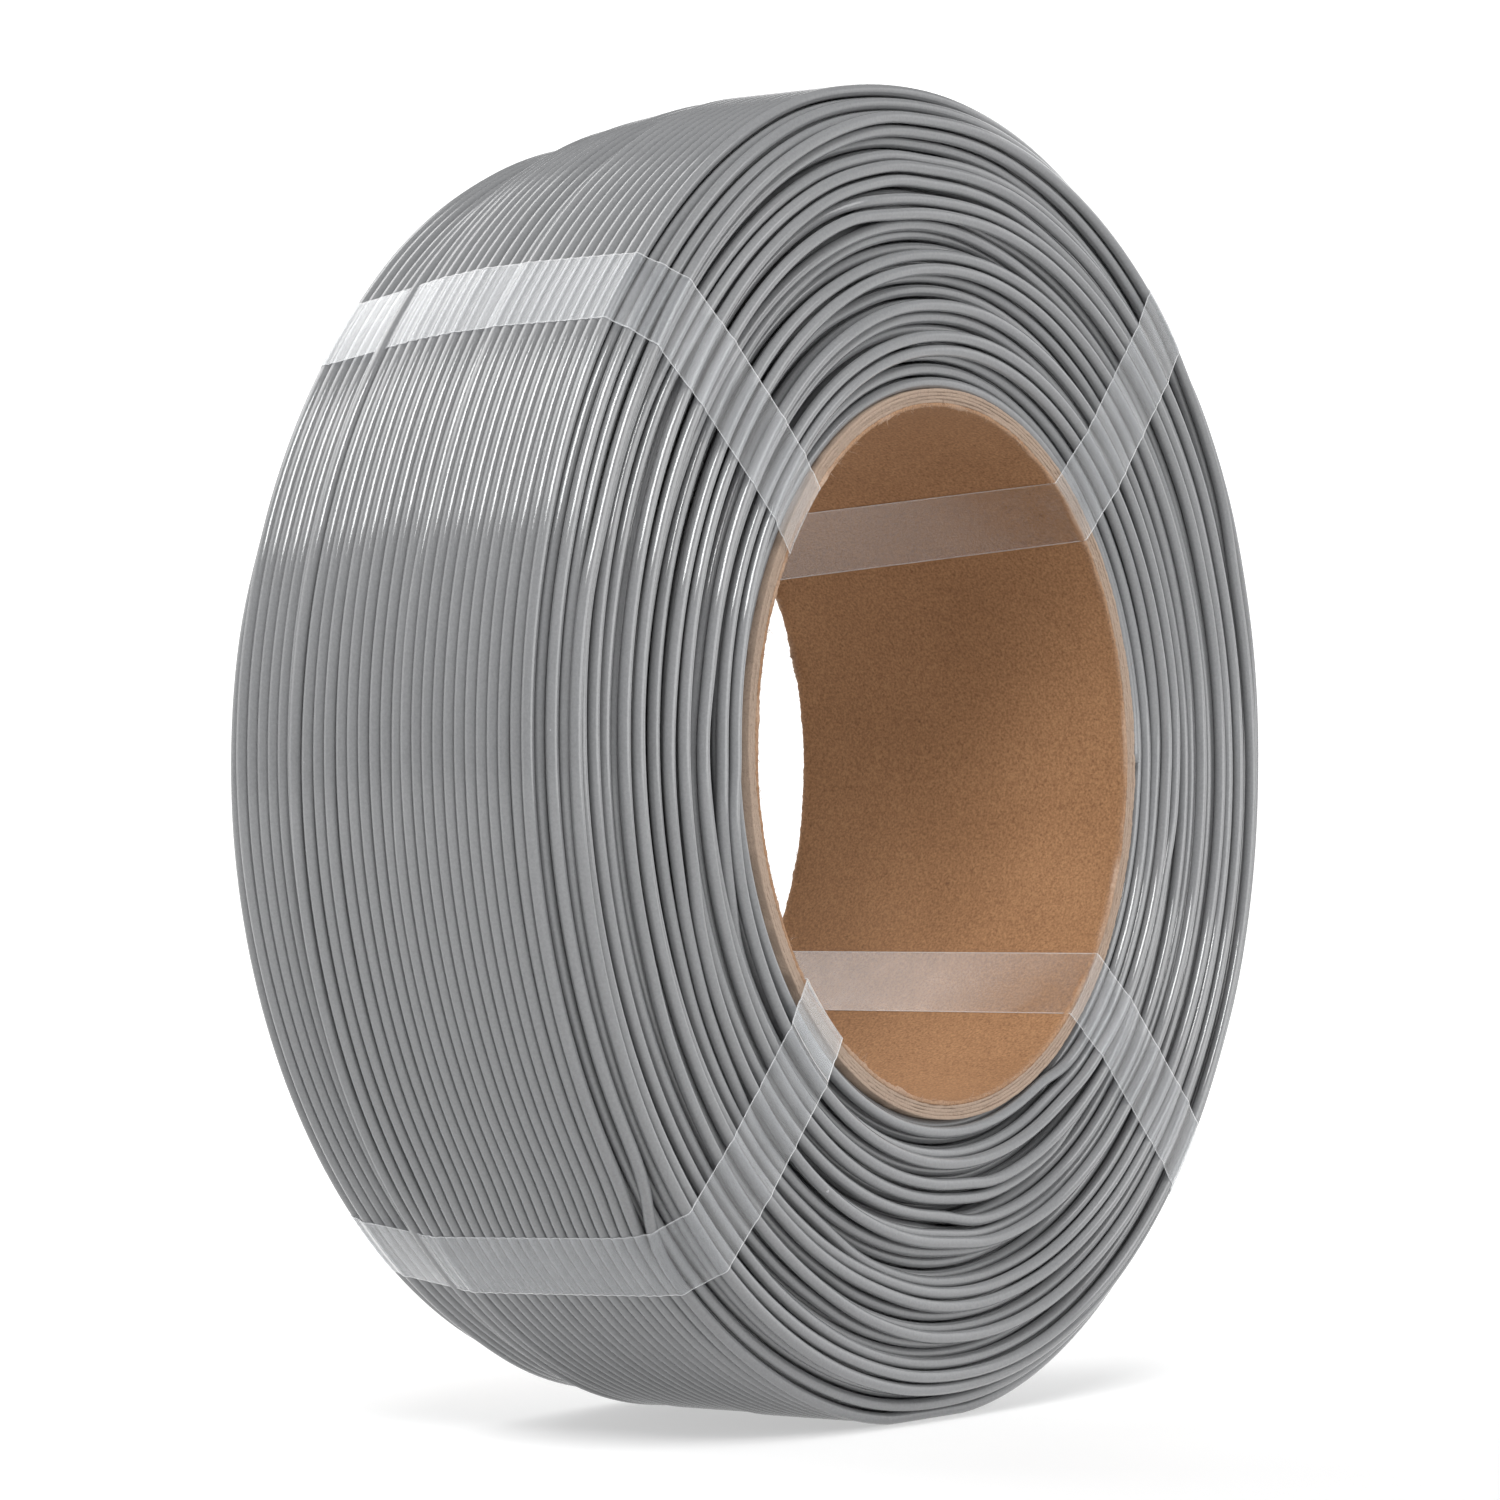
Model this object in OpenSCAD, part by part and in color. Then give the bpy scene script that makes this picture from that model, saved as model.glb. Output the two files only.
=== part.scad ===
// Flangeless refill coil for a 3D printer: one filament wound in layers on a short cardboard core and held
// by four loops of clear tape that run through the bore.
// The coil stands on its edge. Its axis lies along Y, +Z is up and the origin is the centre of the bore.

/* [Filament] */
// Diameter of the filament
strand_d = 1.75; // [1.7:0.01:1.78]
// Axial distance from one turn to the next
turn_pitch = 1.8; // [1.79:0.01:2]

/* [Winding] */
// Outside diameter of the wound coil
coil_d = 190.6; // [180:0.2:200]
// Width of the wound coil
coil_w = 62; // [58:0.5:66]
// Radius of the coil's round shoulders
shoulder_r = 8; // [6:0.5:10]
// Number of layers
layers = 23; // [21:1:23]
// How far the last layer stops short of the back shoulder
last_layer_gap = 9; // [0:1:12]
// Depth of the flat that the coil's weight presses into its lowest turns
rest_depth = 0.6; // [0.3:0.05:0.8]

/* [Core] */
// Bore of the cardboard core
bore_d = 99; // [96:0.5:100]
// Length of the core
core_w = 59; // [55:0.5:60]
// Number of cardboard plies in the core's wall
plies = 5; // [4:1:6]
// Thickness of one ply
ply_t = 0.5; // [0.4:0.05:0.5]

/* [Tape] */
// Width of the tape
tape_w = 12; // [8:0.5:20]
// Thickness of the tape with its glue
tape_t = 0.1; // [0.06:0.01:0.12]
// How far the tape's end laps over its start
tape_lap = 22; // [10:1:35]
// How far the lap reaches inwards over the core's rim
tape_lap_inset = 1; // [0:0.5:2]

/* [Hidden] */
$fn = 96;
// sides of the strand's drawn section
strand_sides = 8;
TAPES = ["upper_back", "upper_front", "lower_front", "lower_back"];
// direction of each tape loop, seen from the front and measured up from +X
tape_angles = [141.5, 48.5, -42.5, -133.5];
// gap between the tape and the turns or the core under it
tape_gap = 0.05;
coil_r = coil_d / 2;
strand_r = strand_d / 2;
bore_r = bore_d / 2;
core_r = bore_r + plies * ply_t;
face_y = coil_w / 2;
// radius of the strand's centre line in the first and the last layer, and the step between layers
first_r = core_r + strand_r;
last_r = coil_r - strand_r;
layer_pitch = (last_r - first_r) / (layers - 1);
// centre of the round shoulders, and the radius that the edge turns' centre lines follow round it
shoulder_centre_r = coil_r - shoulder_r;
edge_arc_r = shoulder_r - strand_r;
// half the thickness of the band that joins neighbouring turns into one layer
bond_t = 0.22;
// gap between neighbouring layers that are drawn as bands
sealed_clearance = 0.04;
// height of the flat that the coil rests on
rest_z = -(coil_r - rest_depth);
// size of the block that trims the lowest turns
reach = coil_d;

function ply_name(i) = i == 1 ? "core_inner_liner" : i == plies ? "core_outer_ply" : str("core_ply_", i);
function two_digits(i) = i < 10 ? str("0", i) : str(i);
function layer_name(i) = str("winding_layer_", two_digits(i));
function tape_name(t) = str("tape_", t);
function layer_r(i) = first_r + (i - 1) * layer_pitch;

// distance from the coil's middle to the centre of a layer's edge turn
function edge_y(r) = r <= shoulder_centre_r
    ? face_y - strand_r
    : face_y - shoulder_r + sqrt(max(0, pow(edge_arc_r, 2) - pow(r - shoulder_centre_r, 2)));

// turns of a layer that lie between its two edge turns
function inner_turns(i) = floor(2 * (edge_y(layer_r(i)) - turn_pitch) / turn_pitch) + 1;
function turn_y(i, k) = (k - (inner_turns(i) - 1) / 2) * turn_pitch;

// turns the drawing's Z axis to lie along +Y, with the drawing's -Y pointing up
module along_y() {
    rotate([-90, 0, 0]) children();
}

module core_ply(i) {
    inner_r = bore_r + (i - 1) * ply_t;
    color(i == 1 ? "#77563c" : "#a07a56")
        along_y() difference() {
            cylinder(h = core_w, r = inner_r + ply_t, center = true);
            cylinder(h = 2 * core_w, r = inner_r, center = true);
        }
}

// a layer deep inside the coil, drawn as the closed band that its turns fill
module sealed_layer(i) {
    half_w = edge_y(layer_r(i)) - strand_r - sealed_clearance;
    half_t = min(strand_r, layer_pitch / 2) - sealed_clearance;
    color("#7b7d80")
        along_y() rotate_extrude()
            translate([layer_r(i) - half_t, -half_w]) square([2 * half_t, 2 * half_w]);
}

// the strand cut across, as an octagon that is as wide as the strand
module strand_section(r, y) {
    translate([r, y]) rotate(180 / strand_sides) circle(r = strand_r / cos(180 / strand_sides), $fn = strand_sides);
}

// one closed turn of the strand
module turn(r, y) {
    along_y() rotate_extrude() strand_section(r, y);
}

// section of the thin band that joins a layer's turns, from the turn numbered 0 to the one numbered last
module bond_section(i, last) {
    translate([layer_r(i) - bond_t, turn_y(i, 0)]) square([2 * bond_t, turn_y(i, last) - turn_y(i, 0)]);
}

module below_rest() {
    translate([-reach, -reach, rest_z - reach]) cube([2 * reach, 2 * reach, reach]);
}

// the layer under the outermost one, with every turn drawn
module covered_layer(i) {
    last = inner_turns(i) - 1;
    color("#85868a")
        along_y() rotate_extrude() {
            for (k = [0:last]) strand_section(layer_r(i), turn_y(i, k));
            bond_section(i, last);
        }
}

// the outermost layer, which stops short of the back and is pressed flat where the coil rests
module outer_layer() {
    last = inner_turns(layers) - 1 - floor(last_layer_gap / turn_pitch);
    color("#8c8e91") {
        for (k = [0:last]) difference() {
            turn(layer_r(layers), turn_y(layers, k));
            below_rest();
        }
        along_y() rotate_extrude() bond_section(layers, last);
    }
}

module winding_layer(i) {
    if (i == layers) outer_layer();
    else if (i == layers - 1) covered_layer(i);
    else sealed_layer(i);
}

// the link between the edge turns of two neighbouring layers, where the strand climbs
module climb(i) {
    a = [layer_r(i), edge_y(layer_r(i))];
    b = [layer_r(i + 1), edge_y(layer_r(i + 1))];
    across = bond_t * [-(b - a)[1], (b - a)[0]] / norm(b - a);
    polygon([a + across, a - across, b - across, b + across]);
}

// the turns at one face of the coil, where each layer reverses into the next
module edge_turns(top) {
    color("#8c8e91")
        along_y() rotate_extrude() {
            for (i = [1:top]) strand_section(layer_r(i), edge_y(layer_r(i)));
            for (i = [1:top - 1]) climb(i);
        }
}

module front_edge_turns() {
    difference() {
        mirror([0, 1, 0]) edge_turns(layers);
        below_rest();
    }
}

module back_edge_turns() {
    edge_turns(layers - 1);
}

// cross-section of the whole coil and core, grown by a distance
module coil_section(grow) {
    mid_r = core_r + strand_d;
    translate([bore_r - grow, -core_w / 2 - grow]) square([mid_r - bore_r + grow, core_w + 2 * grow]);
    translate([mid_r - grow, -face_y - grow]) square([shoulder_centre_r - mid_r + grow, coil_w + 2 * grow]);
    translate([mid_r, shoulder_r - face_y]) square([coil_r - mid_r + grow, coil_w - 2 * shoulder_r]);
    for (side = [-1, 1]) translate([shoulder_centre_r, side * (face_y - shoulder_r)]) circle(r = shoulder_r + grow);
}

module film_section(lift) {
    difference() {
        coil_section(lift + tape_t);
        coil_section(lift);
    }
}

// the tape once round the coil, with its end lapped over its start on the front face
module tape_section() {
    film_section(tape_gap);
    intersection() {
        film_section(tape_gap + tape_t);
        translate([core_r - tape_lap_inset, -coil_w]) square([tape_lap, coil_w]);
    }
}

module tape_loop(angle) {
    color([0.86, 0.87, 0.88, 0.45])
        along_y() intersection() {
            rotate_extrude() tape_section();
            rotate([0, 0, -angle]) translate([bore_r / 2, -tape_w / 2, -coil_w]) cube([coil_r, tape_w, 2 * coil_w]);
        }
}

for (i = [1:plies]) core_ply(i);
for (i = [1:layers]) winding_layer(i);
front_edge_turns();
back_edge_turns();
for (t = [0:len(TAPES) - 1]) tape_loop(tape_angles[t]);
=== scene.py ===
import math

import bpy
import numpy as np
from mathutils.geometry import convex_hull_2d
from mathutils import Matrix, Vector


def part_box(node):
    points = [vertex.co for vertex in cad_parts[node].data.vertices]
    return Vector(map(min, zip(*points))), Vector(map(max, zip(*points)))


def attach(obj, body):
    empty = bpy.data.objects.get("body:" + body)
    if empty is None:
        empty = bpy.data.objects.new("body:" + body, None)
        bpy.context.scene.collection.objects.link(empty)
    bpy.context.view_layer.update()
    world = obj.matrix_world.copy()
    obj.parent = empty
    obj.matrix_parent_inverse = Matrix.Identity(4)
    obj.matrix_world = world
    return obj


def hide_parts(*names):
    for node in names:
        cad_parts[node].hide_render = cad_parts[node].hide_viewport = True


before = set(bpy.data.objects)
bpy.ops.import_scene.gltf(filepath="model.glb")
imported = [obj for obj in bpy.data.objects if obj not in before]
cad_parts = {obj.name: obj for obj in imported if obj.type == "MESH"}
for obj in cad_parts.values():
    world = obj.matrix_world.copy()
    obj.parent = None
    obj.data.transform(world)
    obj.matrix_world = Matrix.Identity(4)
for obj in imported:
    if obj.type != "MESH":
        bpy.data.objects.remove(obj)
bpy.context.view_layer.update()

MM = 0.001


def extent(node, axis):
    """Size of a CAD node along one axis."""
    low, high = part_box(node)
    return (high[axis] - low[axis]) / MM


# The strand and a ply have known sizes. The others are read from the frame.
STRAND_D = 1.75
STRAND_R = STRAND_D / 2
PLY_T = 0.5
PLIES = ["core_inner_liner", "core_ply_2", "core_ply_3", "core_ply_4", "core_outer_ply"]
BORE_R = extent("core_inner_liner", 0) / 2 - PLY_T
CORE_R = BORE_R + PLY_T * len(PLIES)
CORE_HALF = extent("core_outer_ply", 1) / 2
COIL_R = extent("winding_layer_23", 0) / 2
FACE_HALF = CORE_HALF + 1.5
FLOOR_Z = min(p[2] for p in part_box("winding_layer_23")) / MM


# ---------------------------------------------------------------- winding

SLICES = 240          # places round one turn where the strand is laid
CELL = 0.05           # step across the coil in the map of what the strand rests on
TURN_PITCH = 1.79     # how far the guide travels in one turn
STACKING = 1.14       # how much higher than its own width a strand holds up the ones that cross it
LOOK = 0.7            # how far to either side of the guide the strand finds a lower place
DRIFT = 0.06          # share of the way to the lowest place that the strand moves in one slice
SINK = 0.02           # how far the strand can sink in one slice
SHOULDER_R = 8.5      # round shoulders of the coil
BACK_TAPER = 0.5      # how much the outer layers draw in at the back for each millimetre past BACK_TAPER_R
BACK_TAPER_R = 85.3
LAST_LAYER = 22
LAST_Y = 15.0         # the last layer stops short of the back
END_ANGLE = math.radians(58)   # the strand's end lies just past the upper front tape
FACE_TURNS = 3.5      # turns drawn at each end of a layer


def edge_limit(r):
    """How far from the middle a strand's centre may lie at radius r."""
    centre, arc = COIL_R - SHOULDER_R, SHOULDER_R - STRAND_R
    if r <= centre:
        return FACE_HALF - STRAND_R
    return FACE_HALF - SHOULDER_R + math.sqrt(max(0.0, arc ** 2 - (r - centre) ** 2))


class Guide:
    """The winder's guide: it runs to and fro, a little unevenly, and reverses near the faces."""

    def __init__(self, rng):
        self.rng = rng
        self.edge = CORE_HALF - STRAND_R - 0.2
        self.turn_back = self.y = -self.edge
        self.way, self.layer, self.pitch = -1, -1, TURN_PITCH
        self.reverse(CORE_R - STRAND_R)
        self.wait = 0

    def reverse(self, layer_r):
        """Turns round for the next layer, which lies one strand further out than layer_r."""
        self.layer, self.way = self.layer + 1, -self.way
        self.wait = int(SLICES * self.rng.uniform(0.2, 0.9))
        if self.layer:
            self.edge = edge_limit(layer_r + STRAND_D)
        short = abs(self.rng.normal(0, 0.35)) + (self.rng.random() < 0.5) * self.rng.uniform(0.6, 2.0)
        if self.layer > LAST_LAYER - 4:
            short *= 0.2
        if self.way > 0:
            short += BACK_TAPER * max(0.0, layer_r + STRAND_D - BACK_TAPER_R)
        self.turn_back = self.edge - short

    def step(self, number, layer_r):
        """Moves on by one slice. layer_r is a function that gives the radius of the present layer."""
        if number % SLICES == 0:
            self.pitch = TURN_PITCH + self.rng.choice([0, 0.2, 0.45], p=[0.72, 0.18, 0.10])
        if self.wait:
            self.wait -= 1
            return
        self.y += self.way * self.pitch / SLICES
        if self.y * self.way >= self.turn_back:
            self.reverse(layer_r())


class Bed:
    """What the strand rests on: how low its centre can lie at each slice and each place across the coil."""

    def __init__(self):
        self.first_y = -FACE_HALF - 3
        self.ys = self.first_y + np.arange(int(round(-2 * self.first_y / CELL)) + 1) * CELL
        on_core = np.abs(self.ys) <= CORE_HALF - 0.3
        lowest = CORE_R + STRAND_R
        self.rest = np.tile(np.where(on_core, lowest, lowest + 1.5), (SLICES, 1))
        self.half = int(STRAND_D / CELL)
        across = np.arange(-self.half, self.half + 1) * CELL
        self.hump = STACKING * np.sqrt(STRAND_D ** 2 - across ** 2)
        self.look = int(LOOK / CELL)
        self.pull = 0.6 * (np.arange(-self.look, self.look + 1) * CELL) ** 2

    def column(self, y):
        return int((y - self.first_y) / CELL + 0.5)

    def lowest_near(self, s, y):
        """The lowest place near y, where places close to y count as a little lower."""
        start = self.column(y) - self.look
        row = self.rest[s, start:start + 2 * self.look + 1]
        return self.ys[start + (row + self.pull).argmin()]

    def lay(self, s, y, r):
        """Lays the strand at a slice, sinking from radius r as far as it can. Returns its radius."""
        c = self.column(y)
        r = max(self.rest[s, c], r - SINK)
        row = self.rest[s, c - self.half:c + self.half + 1]
        np.maximum(row, r + self.hump, out=row)
        return r


def wind():
    """Lays one strand on the core, turn after turn. Returns its y, radius and layer at every slice."""
    guide, bed = Guide(np.random.default_rng(7)), Bed()
    beside = STRAND_D + 0.005
    turn_y, turn_layer = np.zeros(SLICES), np.full(SLICES, -1)   # where the turn before lies
    out_y, out_r, out_layer = [], [], []
    y, r, step, ended = guide.y, CORE_R + STRAND_R, 0, False
    while not ended:
        s = step % SLICES
        guide.step(step, lambda: np.median(out_r[-6 * SLICES:]))
        y += (bed.lowest_near(s, guide.y) - y) * DRIFT
        if turn_layer[s] == guide.layer and guide.way * (y - turn_y[s]) < beside:
            y = turn_y[s] + guide.way * beside
        y = min(max(y, -guide.edge), guide.edge)
        turn_y[s], turn_layer[s] = y, guide.layer
        r = bed.lay(s, y, r)
        out_y.append(y)
        out_r.append(r)
        out_layer.append(guide.layer)
        step += 1
        at_end = abs(s / SLICES * math.tau - END_ANGLE) < 0.03
        ended = guide.layer == LAST_LAYER and y > LAST_Y and at_end
    return np.array(out_y), np.array(out_r), np.array(out_layer)


def smooth(values, reach):
    """Gaussian smoothing along the strand, with reach in slices."""
    span = np.arange(-3 * reach, 3 * reach + 1)
    weights = np.exp(-0.5 * (span / reach) ** 2)
    padded = np.pad(values, 3 * reach, mode="edge")
    return np.convolve(padded, weights / weights.sum(), mode="valid")


def near(angle, degrees, width):
    """1 at a direction, falling smoothly to 0 away from it over about a width in degrees."""
    away = (np.degrees(angle) - degrees + 180) % 360 - 180
    return np.exp(-(away / width) ** 2)


def settle(angle, r, y):
    """How far the hand-wound coil is out of round, growing from the core outwards."""
    share = (r - CORE_R) / (COIL_R - CORE_R)
    back = np.clip(y / 20, 0, 1)
    swell = 1.0 * near(angle, 35, 55)
    drawn_in = 3.0 * back * near(angle, 125, 45)
    pressed = (FLOOR_Z + COIL_R) * near(angle, -90, 9)
    return share * (swell - drawn_in) - share ** 4 * pressed


def floor_limit(angle):
    """The greatest radius at which the strand's centre line stays clear of the floor."""
    return (FLOOR_Z + STRAND_R) / np.minimum(np.sin(angle), -0.5)


class Winding:
    """The strand's centre line and layer at every slice."""

    def __init__(self):
        y, r, self.layer = wind()
        self.y, self.r = smooth(y, 2), smooth(r, 2)
        self.angle = np.arange(len(y)) * math.tau / SLICES
        self.r += settle(self.angle, self.r, self.y)
        self.r = np.minimum(self.r, floor_limit(self.angle))

    def points(self, span):
        a, r = self.angle[span], self.r[span]
        return np.stack([r * np.cos(a), self.y[span], r * np.sin(a)], 1)


def runs(mask):
    """Stretches of True in mask, as slices, each one step longer at its end so that neighbours meet."""
    edges = np.flatnonzero(np.diff(np.concatenate([[0], mask.astype(int), [0]])))
    return [slice(a, b + 1) for a, b in zip(edges[::2], edges[1::2])]


# ---------------------------------------------------------------- meshes

def make_object(name, verts, faces, material, attributes=None):
    """A smooth mesh object from points in millimetres. attributes maps a name to one number a point."""
    mesh = bpy.data.meshes.new(name)
    mesh.from_pydata((np.asarray(verts) * MM).tolist(), [], faces)
    mesh.validate()
    for key, values in (attributes or {}).items():
        mesh.attributes.new(key, "FLOAT", "POINT").data.foreach_set("value", np.asarray(values, np.float32))
    mesh.polygons.foreach_set("use_smooth", [True] * len(mesh.polygons))
    mesh.materials.append(material)
    obj = bpy.data.objects.new(name, mesh)
    bpy.context.collection.objects.link(obj)
    return obj


def grid_faces(rows, columns, close_rows=False, close_columns=False, start=0):
    """Quads of a grid of points, closed round on itself where asked."""
    i = np.arange(rows if close_rows else rows - 1)[:, None]
    j = np.arange(columns if close_columns else columns - 1)[None, :]
    i2, j2 = (i + 1) % rows, (j + 1) % columns
    corners = [i * columns + j, i2 * columns + j, i2 * columns + j2, i * columns + j2]
    return (np.stack(corners, -1).reshape(-1, 4) + start).tolist()


def strand_mesh(winding, spans, sides=10):
    """Round tubes along stretches of the strand, with each point's place along and round it."""
    verts, faces, along, around = [], [], [], []
    phi = np.arange(sides) * math.tau / sides
    sideways = np.sin(phi)[None, :, None] * np.array([0, 1, 0])
    start = 0
    for span in spans:
        a = winding.angle[span]
        count = len(a)
        out = np.stack([np.cos(a), np.zeros_like(a), np.sin(a)], 1)
        outwards = np.cos(phi)[None, :, None] * out[:, None]
        rings = winding.points(span)[:, None] + STRAND_R * (outwards + sideways)
        verts.append(rings.reshape(-1, 3))
        faces += grid_faces(count, sides, close_columns=True, start=start)
        faces.append(list(range(start, start + sides)))
        faces.append(list(range(start + (count - 1) * sides, start + count * sides))[::-1])
        along.append(np.repeat(a * COIL_R, sides))
        around.append(np.tile(np.abs(phi - math.pi), count))
        start += count * sides
    attributes = {"along": np.concatenate(along), "around": np.concatenate(around)}
    return np.concatenate(verts), faces, attributes


# ---------------------------------------------------------------- materials

class Nodes:
    """A material's node tree, with short calls for the nodes used here."""

    def __init__(self, name):
        self.material = bpy.data.materials.new(name)
        self.material.use_nodes = True
        self.tree = self.material.node_tree
        self.tree.nodes.clear()
        self.output = self.tree.nodes.new("ShaderNodeOutputMaterial")

    def add(self, kind, links=None, **settings):
        node = self.tree.nodes.new("ShaderNode" + kind)
        for key, value in settings.items():
            setattr(node, key, value)
        for key, value in (links or {}).items():
            self.put(node.inputs[key], value)
        return node

    def put(self, socket, value):
        if isinstance(value, bpy.types.NodeSocket):
            self.tree.links.new(value, socket)
        else:
            socket.default_value = value

    def attribute(self, name):
        return self.add("Attribute", attribute_name=name).outputs["Fac"]

    def math(self, operation, a, b=0.5, clamp=False):
        return self.add("Math", {0: a, 1: b}, operation=operation, use_clamp=clamp).outputs[0]

    def times(self, a, b):
        return self.math("MULTIPLY", a, b)

    def plus(self, a, b, clamp=False):
        return self.math("ADD", a, b, clamp)

    def vector(self, x, y=0.0):
        return self.add("CombineXYZ", {0: x, 1: y}).outputs[0]

    def noise(self, scale, detail=3.0, rough=0.5, vector=None):
        if vector is None:
            vector = self.add("TexCoord").outputs["Object"]
        links = {"Scale": scale, "Detail": detail, "Roughness": rough, "Vector": vector}
        return self.add("TexNoise", links).outputs["Fac"]

    def ramp(self, value, *stops):
        """Colour ramp; each stop is (place, colour or grey)."""
        node = self.add("ValToRGB", {"Fac": value})
        elements = node.color_ramp.elements
        while len(elements) < len(stops):
            elements.new(0.5)
        for element, (place, colour) in zip(elements, stops):
            element.position = place
            element.color = (colour,) * 3 + (1,) if isinstance(colour, float) else tuple(colour) + (1,)
        return node.outputs["Color"]

    def mix(self, share, a, b, blend="MIX"):
        node = self.add("Mix", data_type="RGBA", blend_type=blend)
        for socket, value in ((node.inputs[0], share), (node.inputs[6], a), (node.inputs[7], b)):
            self.put(socket, value + (1,) if isinstance(value, tuple) else value)
        return node.outputs[2]

    def bump(self, height, strength, distance_m):
        return self.add("Bump", {"Height": height, "Strength": strength, "Distance": distance_m}).outputs[0]

    def principled(self, colour, roughness, normal=None, **sockets):
        node = self.add("BsdfPrincipled", {"Base Color": colour, "Roughness": roughness})
        if normal is not None:
            self.put(node.inputs["Normal"], normal)
        for key, value in sockets.items():
            node.inputs[key.replace("_", " ")].default_value = value
        return node.outputs[0]

    def done(self, surface):
        self.tree.links.new(surface, self.output.inputs["Surface"])
        return self.material


def filament_material():
    """Grey plastic strand: satin, drawn lengthwise, with slow changes of tone along it and fine dust."""
    n = Nodes("filament_plastic")
    along, around = n.attribute("along"), n.attribute("around")
    lines = n.noise(2.0, 4.0, 0.6, n.vector(n.times(along, 0.02), n.times(around, 2.0)))
    slow = n.noise(1.0, 2.0, 0.5, n.vector(n.times(along, 0.01)))
    grain = n.noise(2600.0, 2.0, 0.6)
    tone = n.ramp(slow, (0.3, (0.180, 0.184, 0.190)), (0.7, (0.205, 0.209, 0.215)))
    tone = n.mix(0.25, tone, n.ramp(grain, (0.3, 0.14), (0.7, 0.26)))
    dust = n.ramp(n.noise(900.0, 1.0, 0.5), (0.83, 0.0), (0.86, 1.0))
    colour = n.mix(n.times(dust, 0.35), tone, (0.62, 0.63, 0.64))
    rough = n.ramp(lines, (0.25, 0.07), (0.75, 0.12))
    bump = n.bump(n.plus(n.times(lines, 0.8), n.times(grain, 0.2)), 0.2, 0.00005)
    return n.done(n.principled(colour, rough, bump, Specular_IOR_Level=0.65))


def board_material(name, dark, light, fleck, torn, grain_strength):
    """Kraft board: cloudy tone, short fibres lying round the tube, dark and pale flecks, a felted bump."""
    n = Nodes(name)
    place = n.add("TexCoord").outputs["Object"]
    clouds = n.noise(55.0, 4.0, 0.55, place)
    felt = n.noise(2600.0, 3.0, 0.65, place)
    lie = n.add("Mapping", {"Vector": place, "Scale": (1100.0, 3000.0, 1100.0)}).outputs[0]
    fibre = n.noise(1.0, 3.0, 0.7, lie)
    colour = n.ramp(clouds, (0.3, dark), (0.7, light))
    colour = n.mix(0.8, colour, n.ramp(felt, (0.32, 0.22), (0.68, 0.78)), "SOFT_LIGHT")
    colour = n.mix(n.times(n.ramp(fibre, (0.58, 0.0), (0.66, 1.0)), 0.35), colour, light)
    colour = n.mix(n.times(n.ramp(fibre, (0.30, 1.0), (0.37, 0.0)), 0.35), colour, fleck)
    specks = n.ramp(n.noise(1300.0, 1.0, 0.4, place), (0.225, 1.0), (0.24, 0.0))
    colour = n.mix(n.times(specks, 0.5), colour, fleck)
    colour = n.mix(n.times(n.attribute("torn"), n.ramp(felt, (0.3, 0.5), (0.7, 1.0))), colour, torn)
    height = n.plus(n.times(felt, 0.6), n.times(fibre, 0.4))
    rough = n.ramp(felt, (0.3, 0.78), (0.7, 0.95))
    bump = n.bump(height, grain_strength, 0.0002)
    return n.done(n.principled(colour, rough, bump, Specular_IOR_Level=0.25))


def tape_material():
    """Clear film with a milky veil: its cut edges are white, and it clears where it touches a strand."""
    n = Nodes("clear_tape")
    across, touch = n.attribute("across"), n.attribute("touch")
    edge = n.ramp(across, (0.965, 0.0), (0.985, 1.0))
    streaks = n.noise(160.0, 4.0, 0.6)
    veil = n.plus(n.times(touch, -0.01), 0.019)
    veil = n.plus(veil, n.times(n.math("SUBTRACT", streaks, 0.5), 0.05))
    veil = n.plus(veil, n.times(edge, 0.2), clamp=True)
    normal = n.bump(n.noise(420.0, 3.0, 0.55), 0.1, 0.0002)
    glance = n.add("LayerWeight", {"Blend": 0.5, "Normal": normal}).outputs["Facing"]
    mirror = n.plus(n.times(n.math("POWER", glance, 5.0), 0.8), 0.04)
    cover = n.plus(veil, mirror, clamp=True)
    white = n.add("BsdfDiffuse", {"Color": (0.86, 0.87, 0.88, 1), "Normal": normal}).outputs[0]
    rough = n.ramp(streaks, (0.3, 0.30), (0.7, 0.42))
    gloss = n.add("BsdfGlossy", {"Color": (1, 1, 1, 1), "Roughness": rough, "Normal": normal}).outputs[0]
    skin = n.add("MixShader", {0: n.math("DIVIDE", mirror, cover), 1: white, 2: gloss}).outputs[0]
    clear = n.add("BsdfTransparent", {"Color": (0.98, 0.985, 0.99, 1)}).outputs[0]
    return n.done(n.add("MixShader", {0: cover, 1: clear, 2: skin}).outputs[0])


def backdrop_material():
    """Pale paper with a painted glow: it gives off light of its own, more and more towards the side away
    from the camera.
    """
    n = Nodes("pale_backdrop")
    tone = n.ramp(n.noise(3.0, 2.0, 0.5), (0.3, 0.50), (0.7, 0.52))
    paper = n.principled(tone, 0.8, Specular_IOR_Level=0.1)
    place = n.add("TexCoord").outputs["Object"]
    away = n.add("VectorMath", {0: place, 1: (0.6, 0.8, 0.0)}, operation="DOT_PRODUCT").outputs["Value"]
    span = {"Value": away, "From Min": -0.3, "From Max": 0.4, "To Min": 0.1, "To Max": 1.0}
    strength = n.add("MapRange", span).outputs[0]
    # Painted glow: the floor gives off light of its own, weak towards the camera's side and strong away from
    # it.
    painted_glow = n.add("Emission", {"Color": (1, 1, 1, 1), "Strength": strength}).outputs[0]
    return n.done(n.add("AddShader", {0: paper, 1: painted_glow}).outputs[0])


# ---------------------------------------------------------------- filament pieces

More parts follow.
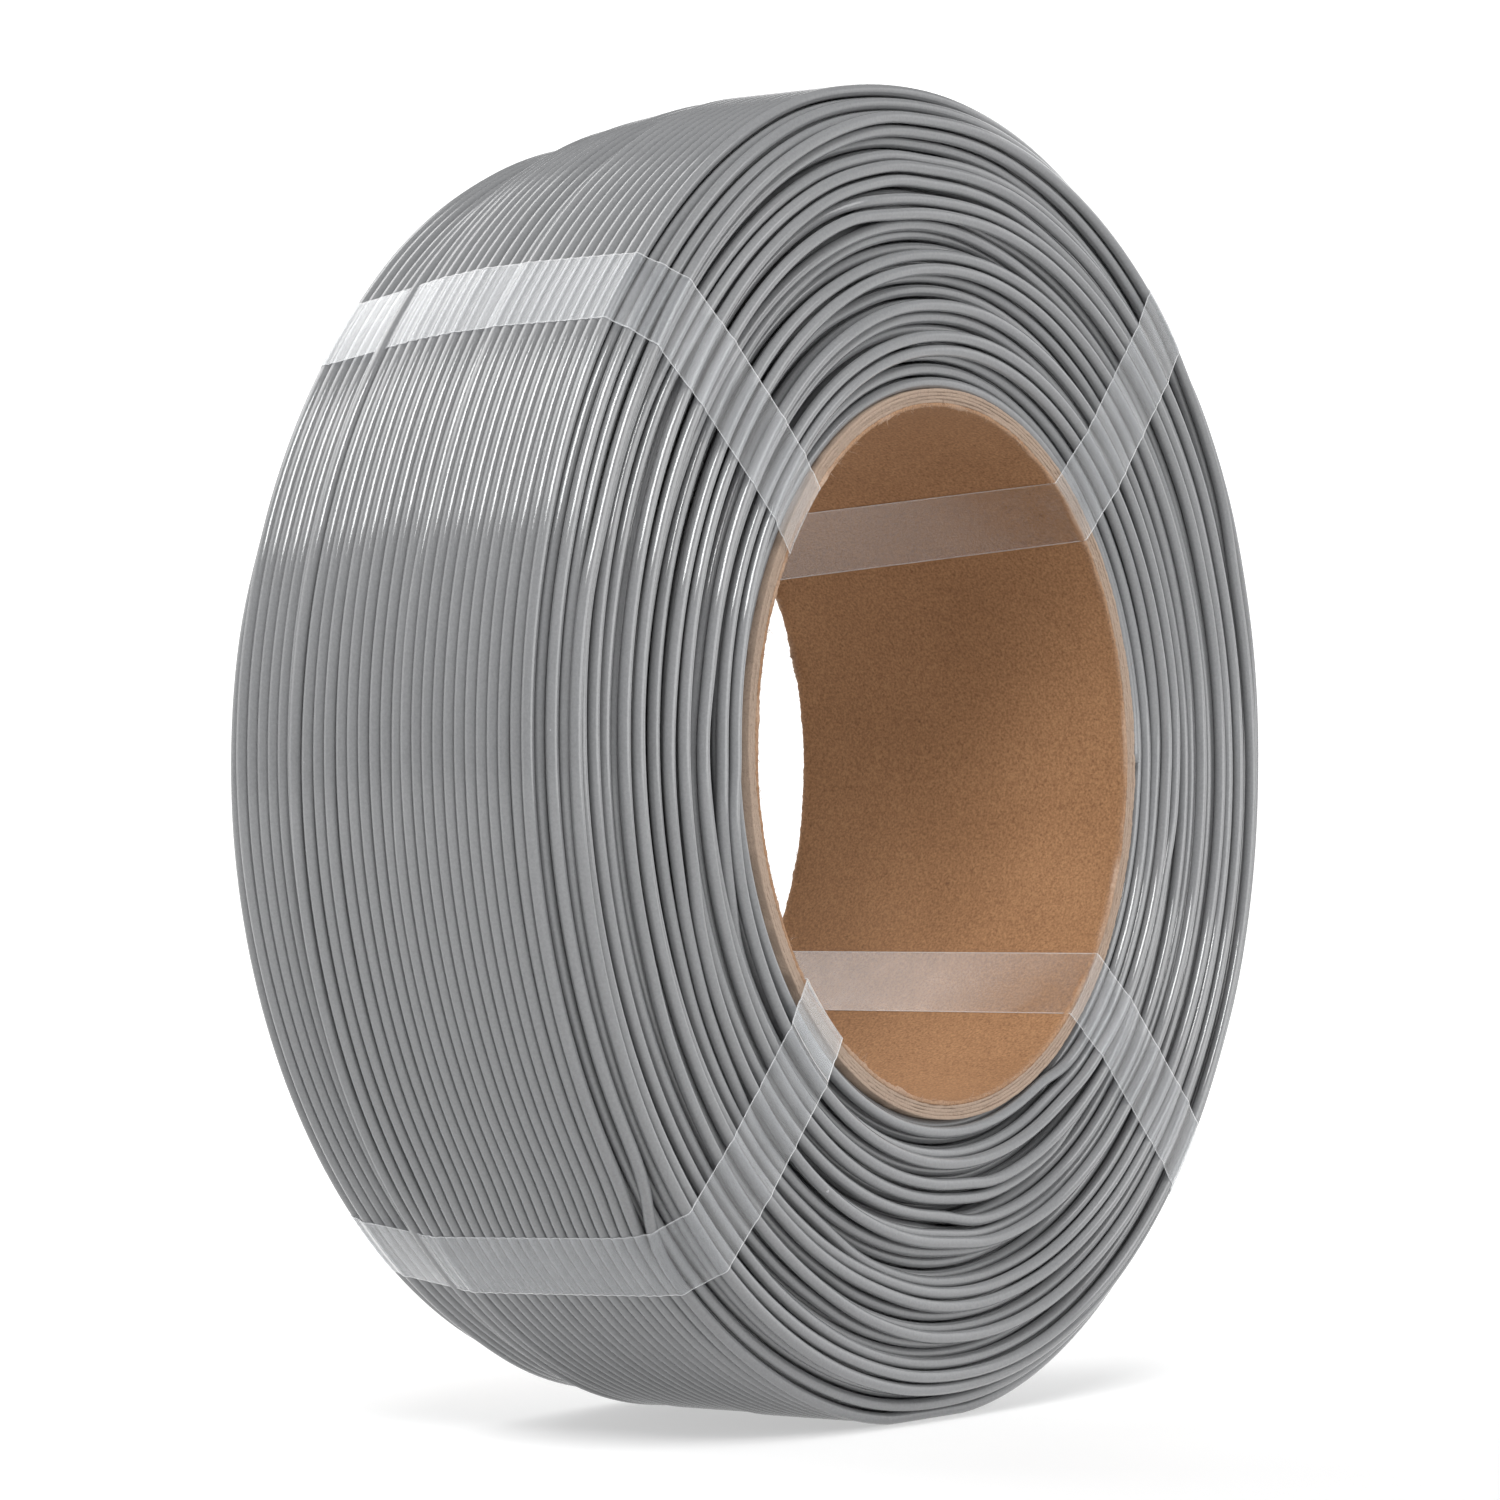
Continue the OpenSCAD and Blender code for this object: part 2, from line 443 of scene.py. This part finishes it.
def filament_zones(winding):
    """Which slices each piece of filament draws, as a mask by name.

    The outer layers are drawn whole, and the others only near the faces. A fold is half of one layer and
    half of the next, so that pieces join in the middle of a layer, out of sight.
    """
    step = np.arange(len(winding.y))
    first = np.searchsorted(winding.layer, np.arange(LAST_LAYER + 2))
    from_start = step - first[winding.layer]
    from_end = first[winding.layer + 1] - step
    at_edge = np.minimum(from_start, from_end) < FACE_TURNS * SLICES
    fold = winding.layer + ((from_start > from_end) & (winding.layer < LAST_LAYER))
    outer = LAST_LAYER - 2
    zones = {}
    for side, face in ((-1, "front"), (1, "back")):
        for number, part in enumerate(("inner", "middle", "outer")):
            third = fold * 3 // outer == number
            zones[f"{face}_turns_{part}"] = at_edge & (winding.y * side > 0) & third
    zones["barrel_turns_last_layer"] = fold == LAST_LAYER
    zones["barrel_turns_covered_layer"] = fold == LAST_LAYER - 1
    zones["barrel_turns_third_layer"] = fold == outer
    return zones


def filament_pieces(winding, material):
    """The turns of the strand that can be seen."""
    turns = {}
    for name, mask in filament_zones(winding).items():
        verts, faces, attributes = strand_mesh(winding, runs(mask))
        turns[name] = make_object(name, verts, faces, material, attributes)
    layers = [f"winding_layer_{i:02d}" for i in range(1, 24)]
    for part, nodes in (("inner", layers[:7]), ("middle", layers[7:14]), ("outer", layers[14:21])):
        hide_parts("front_edge_turns", *nodes)
        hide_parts("back_edge_turns")
    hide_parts("winding_layer_23")
    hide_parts("winding_layer_22")
    return list(turns.values())


# ---------------------------------------------------------------- tape

# Direction of each loop in degrees, the step from the middle of the bore towards the front at which its film
# starts, and how far it slants round the coil in a millimetre from the front face towards the back.
TAPES = {
    "tape_upper_back": (141.5, 470, 0.0),
    "tape_upper_front": (48.5, 455, -0.08),
    "tape_lower_front": (-42.5, 480, 0.0),
    "tape_lower_back": (-133.5, 60, 0.05),
}
TAPE_W = 12.0
TAPE_T = 0.06
TAPE_STEPS = 640      # points along one loop
LAP_STEPS = 60        # points along the lap of its end over its start
FILM_GAP = 0.02       # gap between the film and what it lies on
LAP_RISE = 0.09       # how much higher the film lies where it laps over its own start
TAPE_COLUMNS = 15


class Lane:
    """One line along a tape, at an offset beside the tape's middle line."""

    def __init__(self, angle, offset, slant):
        self.angle, self.offset, self.slant = angle, offset, slant

    def aside(self, y):
        """How far the lane lies beside the radius at the tape's angle."""
        return self.offset + self.slant * (y + FACE_HALF)

    def crossings(self, winding):
        """Where the strand crosses the lane, as (distance out along the radius, y)."""
        reach = 12
        middle = int(round((self.angle % math.tau) / math.tau * SLICES))
        turns = np.arange(1, len(winding.y) // SLICES - 1)
        index = (turns * SLICES + middle)[:, None] + np.arange(-reach, reach + 1)
        turn = winding.angle[index] - self.angle
        side = winding.r[index] * np.sin(turn) - self.aside(winding.y[index])
        k = np.clip((side < 0).sum(1), 1, 2 * reach)
        row = np.arange(len(k))
        share = -side[row, k - 1] / (side[row, k] - side[row, k - 1])

        def between(values):
            return values[row, k - 1] * (1 - share) + values[row, k] * share

        return np.stack([between(winding.r[index] * np.cos(turn)), between(winding.y[index])], 1)

    def rim(self, y):
        """Where the lane passes the bore's rim."""
        return np.array([math.sqrt(BORE_R ** 2 - self.aside(y) ** 2) - 0.03, y])

    def loop(self, centres):
        """The outline pulled tight round the strands and the core, from the middle of the bore."""
        phi = np.arange(36) * math.tau / 36
        ring = np.stack([np.cos(phi), np.sin(phi)], 1) * (STRAND_R + 0.03)
        front, back = self.rim(-CORE_HALF), self.rim(CORE_HALF)
        points = np.concatenate([(centres[:, None] + ring).reshape(-1, 2), [front, back]])
        hull = points[convex_hull_2d(points.tolist())]
        hull = np.roll(hull, -int(np.argmin(np.linalg.norm(hull - front, axis=1))), axis=0)
        if np.linalg.norm(hull[1] - back) < 1e-3:
            hull = np.roll(hull[::-1], 1, axis=0)
        start = np.array([[(front[0] + back[0]) / 2, 0.0]])
        return np.concatenate([start, hull, start])


def resample(path, count):
    length = np.concatenate([[0], np.cumsum(np.hypot(*np.diff(path, axis=0).T))])
    at = np.linspace(0, length[-1], count, endpoint=False)
    return np.stack([np.interp(at, length, path[:, k]) for k in (0, 1)], 1)


def outward_normals(path):
    tangent = np.roll(path, -1, axis=0) - np.roll(path, 1, axis=0)
    tangent /= np.linalg.norm(tangent, axis=1)[:, None]
    normal = np.stack([-tangent[:, 1], tangent[:, 0]], 1)
    return normal * np.sign(((path - path.mean(0)) * normal).sum(1))[:, None]


def tape_column(winding, lane):
    """Points of the film's inner face along a lane, their outward normals, and how clear of a strand."""
    centres = lane.crossings(winding)
    centres = centres[(centres[:, 0] > COIL_R - 7) | (np.abs(centres[:, 1]) > FACE_HALF - 5)]
    path = resample(lane.loop(centres), TAPE_STEPS)
    normal = outward_normals(path)
    gap = np.full(len(path), 9.0)
    for part in np.array_split(centres, 8):
        if len(part):
            gap = np.minimum(gap, np.linalg.norm(path[:, None] - part[None], axis=2).min(1) - STRAND_R)
    on_strands = path[:, 0] > CORE_R + 1
    sag = np.where(on_strands, np.clip(0.35 * (gap - 0.03), 0, 0.14), 0.0)
    return path - normal * sag[:, None], normal, np.where(on_strands, gap, 0.0)


def tape_offsets():
    """The columns' places across the film, with a narrow one at each cut edge."""
    offsets = np.linspace(-TAPE_W / 2, TAPE_W / 2, TAPE_COLUMNS)
    offsets[[1, -2]] = offsets[[0, -1]] + np.array([0.16, -0.16])
    return offsets


def tape_rings(winding, angle, first, slant):
    """Points round the film's section at every step, and how nearly each of them touches a strand."""
    out = np.array([math.cos(angle), 0, math.sin(angle)])
    side = np.array([-math.sin(angle), 0, math.cos(angle)])
    steps = np.arange(TAPE_STEPS + LAP_STEPS)
    rows = (steps + first) % TAPE_STEPS
    lift = FILM_GAP + LAP_RISE * np.clip((steps - TAPE_STEPS + 4) / 8, 0, 1)
    inner, outer, touch = [], [], []
    for offset in tape_offsets():
        lane = Lane(angle, offset, slant)
        path, normal, gap = tape_column(winding, lane)
        for face, height in ((inner, lift), (outer, lift + TAPE_T)):
            p = path[rows] + normal[rows] * height[:, None]
            r, y = p[:, :1], p[:, 1:]
            face.append(r * out + y * np.array([0, 1, 0]) + lane.aside(y) * side)
        touch.append(np.clip(1 - gap[rows] / 0.25, 0, 1))
    rings = np.stack(inner + outer[::-1], 1)
    return rings, np.stack(touch + touch[::-1], 1)


def tape_piece(winding, name, material):
    """One loop of film as a thin closed strip, with its end lapped over its start."""
    degrees, first, slant = TAPES[name]
    rings, touch = tape_rings(winding, math.radians(degrees), first, slant)
    rows, columns = rings.shape[:2]
    faces = grid_faces(rows, columns, close_columns=True)
    faces.append(list(range(columns))[::-1])
    faces.append(list(range((rows - 1) * columns, rows * columns)))
    across = np.abs(tape_offsets()) / (TAPE_W / 2)
    attributes = {"touch": touch.ravel(), "across": np.tile(np.concatenate([across, across[::-1]]), rows)}
    piece = make_object(name + "_film", rings.reshape(-1, 3), faces, material, attributes)
    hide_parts(name)
    return piece


# ---------------------------------------------------------------- core

def ripple(angle, rng, lowest, highest, fall):
    """Smooth random waves round the tube, about 1 high, from slow ones to fine ones."""
    total = np.zeros_like(angle)
    for k in range(lowest, highest):
        total += rng.normal() * np.cos(k * angle + rng.uniform(0, math.tau)) / k ** fall
    return total / max(np.abs(total).max(), 1e-9)


def liner_end(angle, inner, y, rng):
    """Rings (radius, y) over the liner's torn and furred lip, and how torn it is."""
    torn = np.clip(1.5 * ripple(angle, rng, 3, 60, 0.5) + 0.1, 0, 1)
    fray = 0.5 + 0.5 * ripple(angle, rng, 25, 420, 0.3)
    lip = 0.15 + 1.5 * torn * fray
    rings = [(inner, y - 1.2), (inner - 0.3 * lip, y - 0.5), (inner - 0.5 * lip, y - 0.1),
             (inner - 0.1 * lip, y + 0.30 * lip), (inner + 0.3, y + 0.2 * lip), (inner + PLY_T, y)]
    return rings, 0.25 + 0.75 * torn


def ply_end(angle, inner, y, rng):
    """Rings (radius, y) over the cut end of one of the other plies, and how torn it is."""
    bulge = 0.10 * ripple(angle, rng, 50, 420, 0.1)
    split = 0.05 + 0.2 * np.clip(1.5 * ripple(angle, rng, 3, 90, 0.5), 0, 1)
    rings = [(inner, y - split), (inner + 0.06, y - 0.02), (inner + PLY_T / 2, y + bulge),
             (inner + PLY_T - 0.06, y - 0.02), (inner + PLY_T, y - split)]
    return rings, 1.0


class Ply:
    """One ply of the core as rings of points, gathered in order round its section."""

    def __init__(self, index):
        self.rng = np.random.default_rng(40 + index)
        self.around = 960
        self.angle = np.arange(self.around) * math.tau / self.around
        self.index, self.inner = index, BORE_R + index * PLY_T
        self.rings, self.torn = [], []

    def ring(self, r, y, torn=1.0):
        r, y = np.broadcast_to(r, self.angle.shape), np.broadcast_to(y, self.angle.shape)
        self.rings.append(np.stack([r * np.cos(self.angle), y, r * np.sin(self.angle)], 1))
        self.torn.append(torn * np.clip((np.abs(y) - CORE_HALF + 1.0) / 0.5, 0, 1))

    def end(self, way):
        """Adds the uneven cut end at one face. way is 1 at the back and -1 at the front."""
        ragged = 0.12 * ripple(self.angle, self.rng, 3, 40, 0.6)
        ragged += 0.10 * ripple(self.angle, self.rng, 60, 400, 0.2)
        y = CORE_HALF - 0.15 - 0.06 * (len(PLIES) - 1 - self.index) + ragged
        shape = ply_end if self.index else liner_end
        rings, torn = shape(self.angle, self.inner, y, self.rng)
        for r, place in rings[::way]:
            self.ring(r, way * place, torn)

    def bore(self):
        """Adds the liner's slightly wavy inner face."""
        wave = 0.05 * ripple(self.angle, self.rng, 2, 14, 0.8)
        for y in np.linspace(-CORE_HALF + 3, CORE_HALF - 3, 12):
            self.ring(self.inner + wave * (1 - abs(y) / CORE_HALF), y)


def ply_piece(index, name, material):
    """One ply of the core as a closed tube. The innermost has a torn lip."""
    ply = Ply(index)
    if index == 0:
        ply.bore()
    ply.end(1)
    ply.ring(ply.inner + PLY_T, 0)
    ply.end(-1)
    faces = grid_faces(len(ply.rings), ply.around, close_rows=True, close_columns=True)
    attributes = {"torn": np.concatenate(ply.torn)}
    piece = make_object(name + "_board", np.concatenate(ply.rings), faces, material, attributes)
    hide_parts(name)
    return piece


def hair(rng, root, lean, length, radius):
    """Rings of points along one curled paper fibre that narrows to its tip."""
    count, sides = 7, 4
    drift = lean / np.linalg.norm(lean)
    curl = rng.normal(0, 0.35, 3)
    points, place = [], root.copy()
    for _ in range(count):
        points.append(place.copy())
        place += drift * length / count
        drift = drift + curl * 0.5 + rng.normal(0, 0.12, 3)
        drift /= np.linalg.norm(drift)
    a = np.cross(lean, [0.3, 0.5, 0.8])
    a /= np.linalg.norm(a)
    b = np.cross(lean / np.linalg.norm(lean), a)
    phi = np.arange(sides) * math.tau / sides
    section = np.cos(phi)[None, :, None] * a + np.sin(phi)[None, :, None] * b
    size = radius * np.linspace(1, 0.3, count)[:, None, None]
    return np.array(points)[:, None] + size * section


def fibre_piece(name, way, material):
    """Loose paper fibres along one cut rim of the core."""
    rng = np.random.default_rng(90 + way)
    verts, faces, start = [], [], 0
    for _ in range(420):
        angle = rng.uniform(0, math.tau)
        out = np.array([math.cos(angle), 0, math.sin(angle)])
        along = np.array([-math.sin(angle), 0, math.cos(angle)])
        depth = rng.choice([rng.uniform(-0.2, 0.4), rng.uniform(0.3, 2.3)], p=[0.7, 0.3])
        root = out * (BORE_R + depth) + np.array([0, way * (CORE_HALF - 0.25), 0])
        lean = -out * rng.uniform(0.0, 0.9) + along * rng.normal(0, 1.0)
        lean += np.array([0, way * rng.uniform(0.1, 0.6), 0])
        rings = hair(rng, root, lean, rng.gamma(2.2, 0.42) + 0.25, rng.uniform(0.02, 0.04))
        verts.append(rings.reshape(-1, 3))
        faces += grid_faces(*rings.shape[:2], close_columns=True, start=start)
        start += len(verts[-1])
    verts = np.concatenate(verts)
    piece = make_object(name, verts, faces, material, {"torn": np.ones(len(verts))})
    return piece


# ---------------------------------------------------------------- stage, camera and lights

def camera():
    """The photograph's viewpoint: level with the coil, well round to its left, through a long lens."""
    azimuth, elevation, distance = math.radians(-55.8), math.radians(-1.8), 715.0
    level = math.cos(elevation)
    back = np.array([math.sin(azimuth) * level, -math.cos(azimuth) * level, math.sin(elevation)])
    right = np.array([math.cos(azimuth), math.sin(azimuth), 0.0])
    up = np.cross(back, right)
    data = bpy.data.cameras.new("camera")
    data.sensor_width = 36
    data.lens = 117.7
    data.clip_end = 20
    obj = bpy.data.objects.new("camera", data)
    obj.location = ((back * distance - 4.75 * right + 1.05 * up) * MM).tolist()
    obj.rotation_euler = (math.pi / 2 - elevation, 0, azimuth)
    bpy.context.collection.objects.link(obj)
    bpy.context.scene.camera = obj


def floor():
    """A wide pale sheet with a long soft rise all round."""
    rings, around = 40, 96
    radius = np.linspace(0, 1, rings) ** 1.5 * 4000 + 1
    height = FLOOR_Z + np.clip(radius - 2200, 0, None) ** 2 / 1400
    angle = np.arange(around) * math.tau / around
    x, y = radius[:, None] * np.cos(angle), radius[:, None] * np.sin(angle)
    verts = np.stack([x, y, np.broadcast_to(height[:, None], x.shape)], -1).reshape(-1, 3)
    faces = grid_faces(rings, around, close_columns=True)
    faces.append(list(range(around)))
    make_object("floor", verts, faces, backdrop_material())


def softbox(name, place_m, width_m, height_m, watts):
    """A rectangular light that faces the coil's middle."""
    data = bpy.data.lights.new(name, "AREA")
    data.shape = "RECTANGLE"
    data.size, data.size_y = width_m, height_m
    data.energy = watts
    obj = bpy.data.objects.new(name, data)
    obj.location = place_m
    x, y, z = place_m
    obj.rotation_euler = (math.atan2(math.hypot(x, y), z), 0, math.atan2(-x, y) + math.pi)
    bpy.context.collection.objects.link(obj)


def lights():
    world = bpy.data.worlds.new("studio")
    world.use_nodes = True
    background = world.node_tree.nodes["Background"]
    background.inputs["Color"].default_value = (1, 1, 1, 1)
    background.inputs["Strength"].default_value = 0.12
    bpy.context.scene.world = world
    bpy.context.scene.view_settings.view_transform = "Standard"
    softbox("key_softbox", (-0.81, -0.47, 0.95), 0.6, 0.62, 18.5)
    softbox("top_softbox", (-0.2, 1.0, 1.15), 1.5, 1.0, 16)
    softbox("front_softbox", (0.5, -1.6, 0.5), 1.6, 1.2, 18)


# ---------------------------------------------------------------- build

def core_pieces():
    """The five plies, the liner in its own browner board, and the loose fibres of the liner's torn rims."""
    liner = board_material(
        "kraft_liner", dark=(0.24, 0.124, 0.058), light=(0.28, 0.149, 0.072), fleck=(0.10, 0.05, 0.025),
        torn=(0.42, 0.31, 0.235), grain_strength=0.35)
    cut = board_material(
        "cut_board", dark=(0.25, 0.178, 0.140), light=(0.345, 0.255, 0.205), fleck=(0.12, 0.08, 0.055),
        torn=(0.33, 0.25, 0.19), grain_strength=0.9)
    plies = [ply_piece(index, name, cut if index else liner) for index, name in enumerate(PLIES)]
    rims = [fibre_piece("rim_fibres_front", -1, liner), fibre_piece("rim_fibres_back", 1, liner)]
    return plies + rims


camera()
floor()
lights()
strand = Winding()
pieces = filament_pieces(strand, filament_material())
film = tape_material()
pieces += [tape_piece(strand, name, film) for name in TAPES]
pieces += core_pieces()
for piece in pieces:
    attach(piece, "root")
